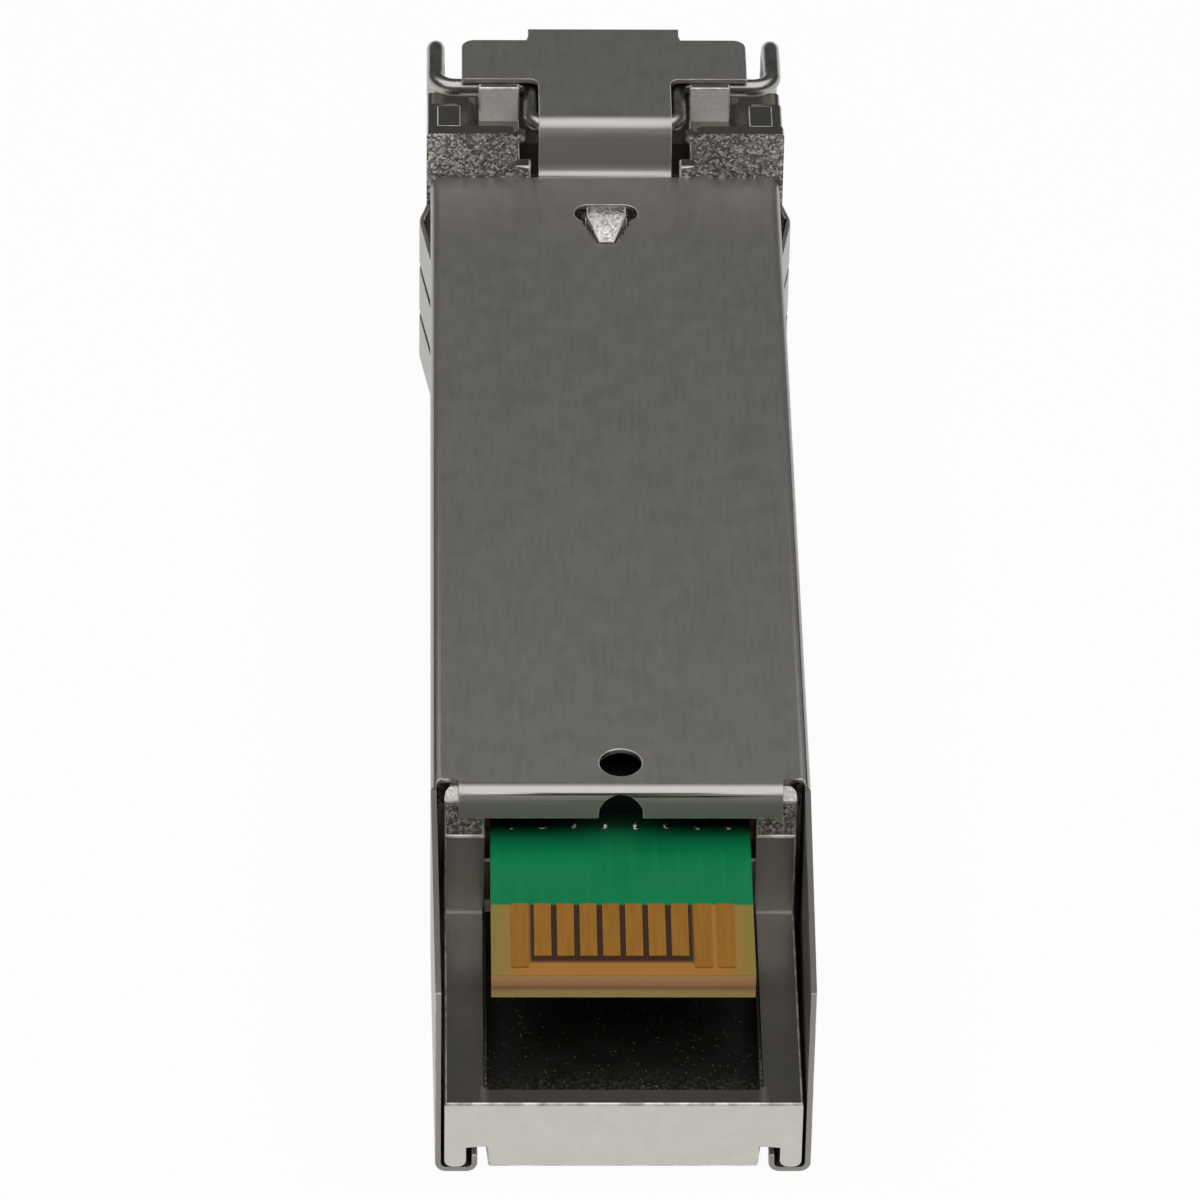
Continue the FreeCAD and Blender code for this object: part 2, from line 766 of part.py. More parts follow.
def latch_lever():
    """Cast lever: wide hub on the pin, flat arm with the boss, narrow tongue under the crank."""
    half_hub = hub_width / 2
    hub = rod_x(hub_radius, -half_hub, half_hub, hinge_y, hinge_z)
    arm = box(-lever_width / 2, lever_width / 2, hinge_y, lever_front_y, lever_under, lever_top)
    tongue = box(-tongue_width / 2, tongue_width / 2, latch_y, tongue_tip_y, lever_top - tongue_thick,
                 lever_top)
    bore = rod_x(pin_diameter / 2 + pin_clear, -hub_width, hub_width, hinge_y, hinge_z)
    return joined([hub, arm, tongue, latch_boss()]).cut(bore)


def latch_spring():
    """Leaf spring folded over the retainer's seat, with its free end under the lever."""
    middle = (neck_rear_y + neck_front_y) / 2
    foot_z = seat_z + spring_sheet / 2
    line = [(middle + seat_pad / 2, foot_z), (middle - spring_reach, foot_z),
            (middle + spring_reach, lever_under - spring_clear - spring_sheet)]
    strip = bent_strip(line, spring_bend, spring_sheet, along(-spring_width / 2))
    return extruded(strip, x=spring_width)


def osa_retainer():
    """Clamp over both barrels' necks, with a low middle that seats the lever's spring."""
    rear = neck_rear_y + retainer_play
    front = neck_front_y - retainer_play
    half = optics_half - retainer_play
    bar = box(-half, half, rear, front, optical_height, optical_height + retainer_rise)
    dip = retainer_dip_width / 2
    dip_cut = box(-dip, dip, rear - overshoot, front + overshoot, seat_z, sleeve_height)
    bar = bar.cut(dip_cut).cut(neck_holes())
    middle = (rear + front) / 2
    pad = box(-seat_pad / 2, seat_pad / 2, middle - seat_pad / 2, middle + seat_pad / 2,
              seat_z - seat_pad_thick, seat_z)
    return joined([bar, pad])


def optical_barrel(x):
    """Turned barrel: ferrule tube, flange, neck, and the holder with its socket for the can."""
    z = optical_height
    solids = [rod_y(barrel_diameter / 2, x, wall_rear_y, barrel_tip_y, z),
              rod_y(barrel_flange / 2, x, neck_front_y, wall_rear_y, z),
              rod_y(barrel_neck / 2, x, neck_rear_y, neck_front_y, z),
              rod_y(barrel_holder / 2, x, holder_rear_y, neck_rear_y, z)]
    seat = sleeve_outer / 2 + sleeve_fit
    cuts = [rod_y(seat, x, sleeve_rear_y, sleeve_front_y, z),
            Part.makeCone(seat, seat + barrel_lead_in, barrel_lead_in, vector(x, sleeve_front_y, z),
                          vector(0, 1, 0)),
            rod_y(can_cap / 2 + can_fit, x, holder_rear_y, holder_rear_y + can_cap_length + can_fit, z)]
    return joined(solids).cut(Part.makeCompound(cuts))


def split_sleeve(x):
    """Ceramic sleeve with one slit along it."""
    tube = rod_y(sleeve_outer / 2, x, sleeve_rear_y, sleeve_front_y, optical_height)
    tube = tube.cut(rod_y(sleeve_bore / 2, x, sleeve_rear_y, sleeve_front_y, optical_height))
    slit = box(x - sleeve_slit / 2, x + sleeve_slit / 2, sleeve_rear_y, sleeve_front_y, optical_height,
               optical_height + sleeve_outer)
    return tube.cut(slit)


def optical_can(x):
    """Round header with its cap inside the barrel's holder."""
    return joined([rod_y(can_header / 2, x, header_rear_y, holder_rear_y, optical_height),
                   rod_y(can_cap / 2, x, holder_rear_y, holder_rear_y + can_cap_length, optical_height)])


def ring(x, z, radius, count):
    """Places evenly round a circle across the length, starting half a step round."""
    turn = 2 * math.pi / count
    angles = [turn * (index + 0.5) for index in range(count)]
    return [(x + radius * math.cos(angle), z + radius * math.sin(angle)) for angle in angles]


def optical_leads(x):
    """Slim eight-sided leads from the can's header to the flexible circuit."""
    tip_y = flex_y + flex / 2
    pins = []
    for pin_x, pin_z in ring(x, optical_height, lead_circle / 2, lead_count):
        corners = [vector(u, tip_y, v) for u, v in ring(pin_x, pin_z, lead_diameter / 2, lead_sides)]
        pins.append(extruded(Part.Face(Part.makePolygon(corners + corners[:1])), y=header_rear_y - tip_y))
    return Part.makeCompound(pins)


def optical_flex(x):
    """Flexible circuit from the can's leads, bent back on to the board."""
    top = board_top + flex / 2
    line = [(flex_y, optical_height - flex_foot), (flex_y, top), (board_front_y - flex_on_board, top)]
    return extruded(bent_strip(line, flex_bend, flex, along(x - flex_width / 2)), x=flex_width)


def circuit_board():
    """Board with the narrow tongue that is the edge connector."""
    inner_y = bulkhead_front_y + board_side_clear
    half = [(board_width / 2, board_end_y, 0), (board_width / 2, inner_y, 0),
            (board_half, inner_y, 0), (board_half, board_front_y, 0)]
    return extruded(outline(mirrored_corners(half), level(board_bottom)), z=board_thick)


def edge_contacts(z0):
    """Row of gold pads. Three of them reach further to the end, so that they make contact first."""
    pads = []
    for index in range(pad_count):
        x = (index - (pad_count - 1) / 2) * pad_pitch
        end = pad_long_end if index in long_pads else pad_short_end
        pads.append(box(x - pad_width / 2, x + pad_width / 2, board_end_y + end, board_end_y + pad_root,
                        z0, z0 + pad_thick))
    return Part.makeCompound(pads)


def insulating_film():
    half = tray_half - film_clear
    return box(-half, half, rear_y + tray_rear_wall + tray_corner, opening_y - bulkhead_proud - film_clear,
               tray_z, tray_z + film)


def chip(size, x, y):
    return box(x - size / 2, x + size / 2, y - size / 2, y + size / 2, board_top, board_top + chip_thick)


def passive_row(count, row, thick):
    """Row of small two-ended parts across the board."""
    y = bulkhead_front_y + row
    solids = []
    for index in range(count):
        x = (index - (count - 1) / 2) * passive_pitch
        solids.append(box(x - passive_width / 2, x + passive_width / 2, y - passive_length / 2,
                          y + passive_length / 2, board_top, board_top + thick))
    return solids


def optical_nodes(name, x):
    return {name + "_barrel": optical_barrel(x), name + "_sleeve": split_sleeve(x),
            name + "_can": optical_can(x), name + "_leads": optical_leads(x), name + "_flex": optical_flex(x)}


def build():
    capacitors = []
    for row in capacitor_rows:
        capacitors += passive_row(capacitor_count, row, capacitor_thick)
    nodes = {
        "die_cast_body": die_cast_body(),
        "bottom_cover": bottom_cover(),
        "bail_wire": bail_wire(),
        "latch_lever": latch_lever(),
        "latch_hinge_pin": rod_x(pin_diameter / 2, -pin_half, pin_half, hinge_y, hinge_z),
        "latch_spring": latch_spring(),
        "osa_retainer": osa_retainer(),
        "circuit_board": circuit_board(),
        "edge_contacts_lower": edge_contacts(board_top),
        "edge_contacts_upper": edge_contacts(board_bottom - pad_thick),
        "insulating_film": insulating_film(),
        "controller_chip": chip(chip_large, 0, bulkhead_front_y + controller_row),
        "memory_chip": chip(chip_small, chip_offset, bulkhead_front_y + memory_row),
        "driver_chip": chip(chip_small, -chip_offset, board_front_y - chip_front_row),
        "amplifier_chip": chip(chip_small, chip_offset, board_front_y - chip_front_row),
        "chip_resistors": Part.makeCompound(passive_row(resistor_count, resistor_row, resistor_thick)),
        "chip_capacitors": Part.makeCompound(capacitors),
        "ferrite_beads": Part.makeCompound(passive_row(bead_count, bead_row, bead_thick)),
    }
    nodes.update(optical_nodes("transmit", -port_pitch / 2))
    nodes.update(optical_nodes("receive", port_pitch / 2))
    return nodes


os.makedirs("parts", exist_ok=True)
for node_name, shape in build().items():
    shape.exportStep("parts/" + node_name + ".step")
    bounds = shape.BoundBox
    print(node_name, "solids", len(shape.Solids), "valid", shape.isValid(), "volume %.2f" % shape.Volume,
          "y %.2f..%.2f z %.2f..%.2f" % (bounds.YMin, bounds.YMax, bounds.ZMin, bounds.ZMax))
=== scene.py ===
import math

import bmesh
import bpy
from mathutils import Matrix, Vector
from mathutils.bvhtree import BVHTree
from mathutils.geometry import intersect_point_line


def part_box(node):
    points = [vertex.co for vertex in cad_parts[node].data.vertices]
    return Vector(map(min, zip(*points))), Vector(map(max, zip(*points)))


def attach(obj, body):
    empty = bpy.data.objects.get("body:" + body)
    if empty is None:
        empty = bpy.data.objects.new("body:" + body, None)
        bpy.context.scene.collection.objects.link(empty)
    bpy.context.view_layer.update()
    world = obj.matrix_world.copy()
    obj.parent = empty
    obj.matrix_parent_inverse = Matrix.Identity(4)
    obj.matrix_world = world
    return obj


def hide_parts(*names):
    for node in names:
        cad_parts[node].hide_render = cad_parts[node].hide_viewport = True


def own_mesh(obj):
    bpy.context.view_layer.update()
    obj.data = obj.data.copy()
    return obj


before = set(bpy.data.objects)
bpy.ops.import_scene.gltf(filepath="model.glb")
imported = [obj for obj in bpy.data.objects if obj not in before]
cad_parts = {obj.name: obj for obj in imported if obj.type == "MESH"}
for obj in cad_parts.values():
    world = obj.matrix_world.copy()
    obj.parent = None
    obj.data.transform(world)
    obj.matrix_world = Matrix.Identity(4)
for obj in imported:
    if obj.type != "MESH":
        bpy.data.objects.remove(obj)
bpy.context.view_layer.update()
mm = 0.001

# Die-cast body: zinc casting with a dull nickel plating, one piece from the rear tray to the nose.
# The skin is as cast: fine and even on the rails, coarse and glittering on the faces that look back.
# Its edges are tumbled round, which catches the light along the rear wall, and the rounds carry a painted
# highlight in short bright runs.
casting_edge = 0.08 * mm
casting_grain = 0.085 * mm
coarse_from_z = 6.6 * mm
rim_y = -27.3 * mm
tray_end_y = -18.1 * mm
bulkhead_y = -17.93 * mm
saddles_y = 21.9 * mm
tray_half = 4.9 * mm


def linear(text):
    """Linear colour of an sRGB hex value."""
    parts = [int(text[i:i + 2], 16) / 255 for i in (1, 3, 5)]
    return [p / 12.92 if p <= 0.04045 else ((p + 0.055) / 1.055) ** 2.4 for p in parts] + [1.0]


def node(tree, kind, inputs=None, **settings):
    """Adds a node. An input is a value, or another node's output that is linked to it."""
    made = tree.nodes.new(kind)
    for name, value in settings.items():
        setattr(made, name, value)
    for name, value in (inputs or {}).items():
        if isinstance(value, bpy.types.NodeSocket):
            tree.links.new(value, made.inputs[name])
        else:
            made.inputs[name].default_value = value
    return made


def material(name, **sockets):
    """A new material with its shader's sockets set."""
    made = bpy.data.materials.new(name)
    made.use_nodes = True
    shader = made.node_tree.nodes["Principled BSDF"]
    for socket, value in sockets.items():
        shader.inputs[socket.replace("_", " ")].default_value = value
    return made, made.node_tree, shader


def noise(tree, size, detail=3.0, stretch=(1, 1, 1)):
    """Noise on the piece's own coordinates, with grains of a real size in metres."""
    place = node(tree, "ShaderNodeTexCoord").outputs["Object"]
    turned = node(tree, "ShaderNodeMapping", {"Vector": place, "Scale": stretch})
    return node(tree, "ShaderNodeTexNoise", {"Vector": turned.outputs[0], "Scale": 1 / size,
                                             "Detail": detail}).outputs["Fac"]


def maths(tree, operation, first, second=0.0):
    """The result of one operation on one or two values."""
    return node(tree, "ShaderNodeMath", {0: first, 1: second}, operation=operation).outputs[0]


def product(tree, first, *others):
    """Values multiplied together."""
    for other in others:
        first = maths(tree, "MULTIPLY", first, other)
    return first


def ranged(tree, value, low, high, to_low, to_high):
    """Value carried from one range to another, with a soft start and end."""
    return node(tree, "ShaderNodeMapRange", {"Value": value, "From Min": low, "From Max": high,
                                             "To Min": to_low, "To Max": to_high},
                interpolation_type="SMOOTHSTEP").outputs[0]


def stepped(tree, value, place, width, below=0, above=1):
    """One level below a place and another above it, with a soft step of the given width."""
    return ranged(tree, value, place - width / 2, place + width / 2, below, above)


def tinted(tree, fac, first, second):
    """Colour between two, by fac. A colour is an sRGB hex value or another node's output."""
    ends = [linear(colour) if isinstance(colour, str) else colour for colour in (first, second)]
    return node(tree, "ShaderNodeMix", {0: fac, 6: ends[0], 7: ends[1]}, data_type="RGBA").outputs[2]


def bumped(tree, shader, strength, distance, height):
    """Lets a height raise the surface, by a distance for each unit of it."""
    bump = node(tree, "ShaderNodeBump", {"Strength": strength, "Distance": distance, "Height": height})
    tree.links.new(bump.outputs[0], shader.inputs["Normal"])


def position(tree):
    """The three coordinates of the piece's own frame, in metres."""
    place = node(tree, "ShaderNodeTexCoord").outputs["Object"]
    return node(tree, "ShaderNodeSeparateXYZ", {0: place}).outputs


def facing(tree):
    """The three parts of the way that the surface faces."""
    normal = node(tree, "ShaderNodeTexCoord").outputs["Normal"]
    return node(tree, "ShaderNodeSeparateXYZ", {0: normal}).outputs


def new_object(name, data):
    """A new object, put in the scene."""
    made = bpy.data.objects.new(name, data)
    bpy.context.scene.collection.objects.link(made)
    return made


def settle(piece):
    """Turns a piece's modifiers into its mesh."""
    seen = piece.evaluated_get(bpy.context.evaluated_depsgraph_get())
    mesh = bpy.data.meshes.new_from_object(seen)
    piece.modifiers.clear()
    piece.data = mesh


def joined_faces(name):
    """A CAD piece's faces with their corners joined, and with each flat made one face."""
    same_place = 1e-7
    same_plane = math.radians(0.2)
    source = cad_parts[name].data
    work = bmesh.new()
    for vertex in source.vertices:
        work.verts.new(vertex.co)
    work.verts.ensure_lookup_table()
    for face in source.polygons:
        work.faces.new([work.verts[i] for i in face.vertices])
    bmesh.ops.remove_doubles(work, verts=work.verts, dist=same_place)
    bmesh.ops.dissolve_limit(work, angle_limit=same_plane, verts=work.verts, edges=work.edges)
    return work


def room_beside(edge):
    """How far an edge lies from the other edges of its two faces. A neighbour counts by its length."""
    room = math.inf
    for other in (other for face in edge.link_faces for other in face.edges if other != edge):
        if set(other.verts) & set(edge.verts):
            room = min(room, other.calc_length())
            continue
        for one, two in ((edge, other), (other, edge)):
            start, end = (vertex.co for vertex in two.verts)
            for vertex in one.verts:
                share = intersect_point_line(vertex.co, start, end)[1]
                room = min(room, (start.lerp(end, min(1, max(0, share))) - vertex.co).length)
    return room


def mark_edges(work, width):
    """Marks curved faces as smooth, and gives each outer edge a rounding that its room allows."""
    flat = math.radians(1)
    sharp = math.radians(35)
    share_of_room = 0.3
    for face in work.faces:
        face.smooth = any(flat < edge.calc_face_angle(0) < sharp for edge in face.edges)
    rounding = work.edges.layers.float.new("bevel_weight_edge")
    for edge in work.edges:
        if not edge.is_manifold or edge.calc_face_angle() < sharp:
            continue
        room = room_beside(edge)
        edge.smooth = edge.is_convex and room > width
        if edge.smooth:
            edge[rounding] = min(1, share_of_room * room / width)


def softened(name, width, body, finish, edge_highlight_finish):
    """Copy of a CAD piece with its outer edges rounded, standing for that piece."""
    work = joined_faces(name)
    skin = BVHTree.FromBMesh(work)
    mark_edges(work, width)
    mesh = bpy.data.meshes.new(name + "_worked")
    work.to_mesh(mesh)
    work.free()
    mesh.materials.append(finish)
    mesh.materials.append(edge_highlight_finish)
    piece = new_object(name + "_worked", mesh)
    bevel = piece.modifiers.new("tumbled edges", "BEVEL")
    bevel.width = width
    bevel.segments = 2
    bevel.limit_method = "WEIGHT"
    bevel.material = mesh.materials.find(edge_highlight_finish.name)
    bevel.use_clamp_overlap = False
    settle(piece)
    for vertex in piece.data.vertices:
        nearest, normal, face, distance = skin.find_nearest(vertex.co)
        if distance > width / 2:
            vertex.co = nearest
    piece.modifiers.new("flat faces", "WEIGHTED_NORMAL").keep_sharp = True
    settle(piece)
    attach(piece, body)
    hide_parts(name)
    return piece


def flakes(tree):
    """The coarse skin: an even shade for each flake, drawn at random."""
    place = node(tree, "ShaderNodeTexCoord").outputs["Object"]
    cells = node(tree, "ShaderNodeTexVoronoi", {"Vector": place, "Scale": 1 / casting_grain})
    return node(tree, "ShaderNodeSeparateColor", {0: cells.outputs["Color"]}).outputs[0]


def coarse_faces(tree, y, z, along):
    """Where the skin is coarse: the upper faces that look back, from the bulkhead to the nose."""
    above = stepped(tree, z, coarse_from_z, 0.1 * mm)
    ahead = stepped(tree, y, tray_end_y, 0.2 * mm)
    rearward = ranged(tree, along, -0.9, -0.6, 1, 0)
    return product(tree, above, ahead, rearward)


def painted_rail_glint(tree, y, upward):
    """Painted highlight on the rails: a bright glint line at the bulkhead's foot, and a fade behind it."""
    rails = ranged(tree, y, bulkhead_y, bulkhead_y + 0.03 * mm, 1, 0)
    line = ranged(tree, y, bulkhead_y - 0.22 * mm, bulkhead_y - 0.06 * mm, 0, 0.75)
    fade = ranged(tree, y, bulkhead_y - 1.6 * mm, bulkhead_y, 0, 0.2)
    return product(tree, maths(tree, "ADD", line, fade), rails, upward)


def frosted_rim(tree, x, y, upward):
    """Where the rim behind the tray is frosted: its upper face, between the rails."""
    rear = stepped(tree, y, rim_y, 0.2 * mm, 1, 0)
    between = stepped(tree, maths(tree, "ABSOLUTE", x), tray_half, 0.6 * mm, 1, 0)
    return product(tree, rear, upward, between)


def plated_zinc():
    """Nickel-plated casting. Faces that met the rough end of the die glitter, the rest is satin.
    The rails carry a painted highlight towards the foot of the bulkhead: a bright line there and a fade
    behind it."""
    made, tree, shader = material("plated zinc", Metallic=1.0)
    x, y, z = position(tree)
    normal = facing(tree)
    upward = ranged(tree, normal["Z"], 0.7, 0.95, 0, 1)
    coarse = coarse_faces(tree, y, z, normal["Y"])
    # Painted highlight: a glint line on the rails at the bulkhead's foot, fading behind it.
    rail_glint = painted_rail_glint(tree, y, upward)
    rim = frosted_rim(tree, x, y, upward)
    painted_light_saddles = stepped(tree, y, saddles_y, 0.2 * mm)
    worn = noise(tree, 0.5 * mm, 6.0)
    satin = tinted(tree, worn, "#BFBBB5", "#CBC7C1")
    # Painted shade: faces that look up take a darker tone.
    painted_shade_up = tinted(tree, worn, "#A5A19C", "#B4B0AA")
    satin = tinted(tree, upward, satin, painted_shade_up)
    satin = tinted(tree, rail_glint, satin, "#F0ECE6")
    satin = tinted(tree, rim, satin, "#5E5B58")
    flake = flakes(tree)
    # Painted light: on the saddles and pillars the coarse skin is near white and matt, so that these faces
    # look brightly lit.
    ground = tinted(tree, painted_light_saddles, "#7A7671", "#F0ECE6")
    glitter = tinted(tree, maths(tree, "POWER", flake, 1.8), ground, "#FDFAF5")
    tree.links.new(tinted(tree, coarse, satin, glitter), shader.inputs["Base Color"])
    frosted = maths(tree, "MAXIMUM", coarse, rim)
    tree.links.new(ranged(tree, frosted, 0, 1, 0.24, 0.7), shader.inputs["Roughness"])
    # The saddles' painted light and the rails' painted highlight are made matt here, so that they read
    # bright.
    matt = maths(tree, "MAXIMUM", product(tree, coarse, painted_light_saddles), rail_glint)
    tree.links.new(ranged(tree, matt, 0, 1, 1, 0.05), shader.inputs["Metallic"])
    bumped(tree, shader, ranged(tree, coarse, 0, 1, 0.04, 0.75), 0.03 * mm, flake)
    return made


def painted_highlight_edge(name, grain, edge_base_colour, edge_highlight_colour):
    """Edge faces with a painted highlight: short runs of bright colour that stand for light caught along the
    edge.
    """
    made, tree, shader = material(name, Metallic=0.35, Roughness=0.4)
    runs = ranged(tree, noise(tree, grain, 2.0), 0.33, 0.68, 0, 1)
    tree.links.new(tinted(tree, runs, edge_base_colour, edge_highlight_colour), shader.inputs["Base Color"])
    return made


# Painted highlight: the casting's rounded edges get bright runs of colour.
zinc_edge_highlight = painted_highlight_edge("zinc edge highlight", 0.6 * mm, "#B5B1AB", "#FBF8F3")
body = softened("die_cast_body", casting_edge, "module", plated_zinc(), zinc_edge_highlight)

# Insulating film: thin black film glued to the tray's floor, with its sides turned up the tray's walls.
# A fine grey powder lies on its rear half.
film_low, film_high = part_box("insulating_film")
film_thick = film_high.z - film_low.z
turned_up = 2.95 * mm
powder_y = -25.0 * mm


def folded_film():
    """The film's section, an open channel, drawn once at each end and joined along the tray."""
    inner = film_high.x - film_thick
    half = [(film_high.x, film_low.z), (film_high.x, turned_up), (inner, turned_up), (inner, film_high.z)]
    section = half + [(-x, z) for x, z in reversed(half)]
    count = len(section)
    points = [(x, y, z) for y in (film_low.y, film_high.y) for x, z in section]
    sides = [(i, i + count, (i + 1) % count + count, (i + 1) % count) for i in range(count)]
    ends = [tuple(range(count)), tuple(reversed(range(count, 2 * count)))]
    mesh = bpy.data.meshes.new("insulating_film_folded")
    mesh.from_pydata(points, [], sides + ends)
    work = bmesh.new()
    work.from_mesh(mesh)
    bmesh.ops.recalc_face_normals(work, faces=work.faces)
    work.to_mesh(mesh)
    work.free()
    return new_object("insulating_film_folded", mesh)


def black_film():
    """Blotchy black film, dusted over at the rear."""
    made, tree, shader = material("black insulating film", Specular_IOR_Level=0.35)
    blotch = noise(tree, 0.8 * mm, 5.0)
    tree.links.new(ranged(tree, blotch, 0.35, 0.7, 0.35, 0.6), shader.inputs["Roughness"])
    film = tinted(tree, blotch, "#1D1C1A", "#2E2D2A")
    rear_half = stepped(tree, position(tree)["Y"], powder_y, 3.0 * mm, 1, 0)
    powder = ranged(tree, noise(tree, 0.14 * mm, 4.0), 0.45, 0.64, 0, 0.6)
    powder = product(tree, powder, rear_half)
    tree.links.new(tinted(tree, powder, film, "#7E7B76"), shader.inputs["Base Color"])
    return made


film = folded_film()
film.data.materials.append(black_film())
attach(film, "module")
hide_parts("insulating_film")

# Lint: tiny flat grains of grey dust that lie loose on the film.
# They are scattered over it, each with a size and a turn of its own.
lint_values = {"width": film_high.x - film_low.x, "length": film_high.y - film_low.y,
               "per square metre": 5.0e6, "seed": 11, "speck": 0.055 * mm}
lint_place = ((film_low.x + film_high.x) / 2, (film_low.y + film_high.y) / 2, film_high.z)
full_turn = 6.28


def dust():
    """Matt grey lint, lighter and darker from grain to grain."""
    made, tree, shader = material("grey lint", Roughness=0.7)
    shade = noise(tree, 0.3 * mm, 1.0)
    tree.links.new(tinted(tree, shade, "#3C3A37", "#A5A29C"), shader.inputs["Base Color"])
    return made


def tree_inputs(name, **values):
    """An empty Geometry Nodes tree with named number inputs and one mesh output."""
    tree = bpy.data.node_groups.new(name, "GeometryNodeTree")
    tree.interface.new_socket("Geometry", in_out="OUTPUT", socket_type="NodeSocketGeometry")
    for label, value in values.items():
        kind = "NodeSocketInt" if isinstance(value, int) else "NodeSocketFloat"
        tree.interface.new_socket(label, in_out="INPUT", socket_type=kind)
    return tree


def drawn(tree, low, high, seed):
    """A vector drawn at random between two, for each copy."""
    return node(tree, "FunctionNodeRandomValue", {"Min": low, "Max": high, "Seed": seed},
                data_type="FLOAT_VECTOR").outputs[0]


def copies(tree, points, shape, finish, **each):
    """Real copies of a shape on points, in one finish. Each has its own scale or turn."""
    placed = node(tree, "GeometryNodeInstanceOnPoints", {"Points": points, "Instance": shape, **each})
    real = node(tree, "GeometryNodeRealizeInstances", {0: placed.outputs[0]})
    return node(tree, "GeometryNodeSetMaterial", {0: real.outputs[0], "Material": finish}).outputs[0]


def grown(tree, values):
    """A plain mesh piece made by a Geometry Nodes tree, with its inputs set by identifier."""
    mesh = bpy.data.meshes.new(tree.name)
    piece = new_object(tree.name.replace(" ", "_"), mesh)
    maker = piece.modifiers.new("repeat", "NODES")
    maker.node_group = tree
    for item in tree.interface.items_tree:
        if item.in_out == "INPUT":
            maker[item.identifier] = values[item.name]
    settle(piece)
    piece.data.shade_smooth()
    return piece


def lint_tree(values):
    """Specks scattered over the film's rectangle."""
    tree = tree_inputs("tray lint", **values)
    given = node(tree, "NodeGroupInput").outputs
    grid = node(tree, "GeometryNodeMeshGrid", {"Size X": given["width"], "Size Y": given["length"],
                                               "Vertices X": 2, "Vertices Y": 2})
    spots = node(tree, "GeometryNodeDistributePointsOnFaces",
                 {"Mesh": grid.outputs["Mesh"], "Density": given["per square metre"], "Seed": given["seed"]})
    speck = node(tree, "GeometryNodeMeshIcoSphere", {"Radius": given["speck"], "Subdivisions": 1})
    grains = copies(tree, spots.outputs["Points"], speck.outputs["Mesh"], dust(),
                    Rotation=drawn(tree, (0, 0, 0), (0, 0, full_turn), 8),
                    Scale=drawn(tree, (0.2, 0.2, 0.1), (1.3, 0.8, 0.4), 3))
    moved = node(tree, "GeometryNodeTransform", {0: grains, "Translation": lint_place})
    node(tree, "NodeGroupOutput", {0: moved.outputs[0]})
    return tree


lint = grown(lint_tree(lint_values), lint_values)
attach(lint, "module")

# Circuit board: glass-epoxy laminate under green solder mask, bare and honey-coloured at the edge
# connector, where the mask stops. Traces run under the mask from each contact, and a painted shadow
# darkens the mask under the cover's flange, beside the joints.
board_low, board_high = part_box("circuit_board")
contacts_low, contacts_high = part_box("edge_contacts_lower")
contact_pitch = 0.8 * mm
green_from_x = 4.0 * mm
gap_left = -3.25 * mm
gap_right = 2.47 * mm
gap_edge = 0.14 * mm
flange_shadow_y = -17.15 * mm


def bare_laminate(tree, x, y, cloud):
    """Honey-coloured resin, greener at the sides and dark between the contacts."""
    resin = tinted(tree, cloud, "#A9742F", "#B87F38")
    sides = stepped(tree, maths(tree, "ABSOLUTE", x), green_from_x, 1.0 * mm)
    resin = tinted(tree, sides, resin, "#93813E")
    gaps = product(tree, stepped(tree, x, gap_left, gap_edge), stepped(tree, x, gap_right, gap_edge, 1, 0),
                   stepped(tree, y, contacts_low.y + 0.3 * mm, 0.24 * mm))
    return tinted(tree, gaps, resin, "#3A2417")


def solder_mask(tree, y, cloud, trace):
    """Green mask, a little lighter over the traces, with a painted shadow under the flange."""
    mask = tinted(tree, cloud, "#0A7C4A", "#0E8E55")
    mask = tinted(tree, trace, mask, "#0D8851")
    # Painted shadow: the mask turns near black towards the flange.
    return tinted(tree, stepped(tree, y, flange_shadow_y, 0.9 * mm, 0, 0.92), mask, "#04170E")


def cut_edge(tree, z):
    """The layers of glass and resin that show where the board is cut, with a painted highlight as the light
    band at the top.
    """
    layers = node(tree, "ShaderNodeValToRGB", {0: ranged(tree, z, board_low.z, board_high.z, 0, 1)})
    stops = layers.color_ramp.elements
    stops[0].color = linear("#C2B060")
    # The top stop is a painted highlight along the board's upper edge.
    stops[1].color = linear("#D0A062")
    for place, colour in ((0.2, "#C0985C"), (0.42, "#A06A4C"), (0.6, "#BE8A5C")):
        stops.new(place).color = linear(colour)
    return layers.outputs[0]


def board_laminate():
    """The board's faces and its cut edge."""
    made, tree, shader = material("masked glass-epoxy", Specular_IOR_Level=0.4)
    x, y, z = position(tree)
    weave = noise(tree, 0.25 * mm, 2.0)
    cloud = noise(tree, 2.2 * mm, 3.0)
    shifted = maths(tree, "ADD", x, contact_pitch / 2)
    off_trace = maths(tree, "PINGPONG", shifted, contact_pitch / 2)
    trace = ranged(tree, off_trace, 0.09 * mm, 0.12 * mm, 1, 0)
    masked = ranged(tree, y, contacts_high.y - 0.04 * mm, contacts_high.y + 0.02 * mm, 0, 1)
    top = tinted(tree, masked, bare_laminate(tree, x, y, cloud), solder_mask(tree, y, cloud, trace))
    at_top = ranged(tree, z, board_high.z - 0.03 * mm, board_high.z - 0.01 * mm, 0, 1)
    tree.links.new(tinted(tree, at_top, cut_edge(tree, z), top), shader.inputs["Base Color"])
    tree.links.new(ranged(tree, masked, 0, 1, 0.5, 0.3), shader.inputs["Roughness"])
    bumped(tree, shader, 0.12, 0.02 * mm, maths(tree, "ADD", trace, weave))
    return made


def give_finish(name, finish):
    """Gives a CAD piece its finish."""
    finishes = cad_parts[name].data.materials
    finishes.clear()
    finishes.append(finish)


give_finish("circuit_board", board_laminate())

# Edge contacts: copper pads with hard gold plating, ten on each face of the board.
# The plating is matt from wear, with faint wiping marks along the way the board slides.


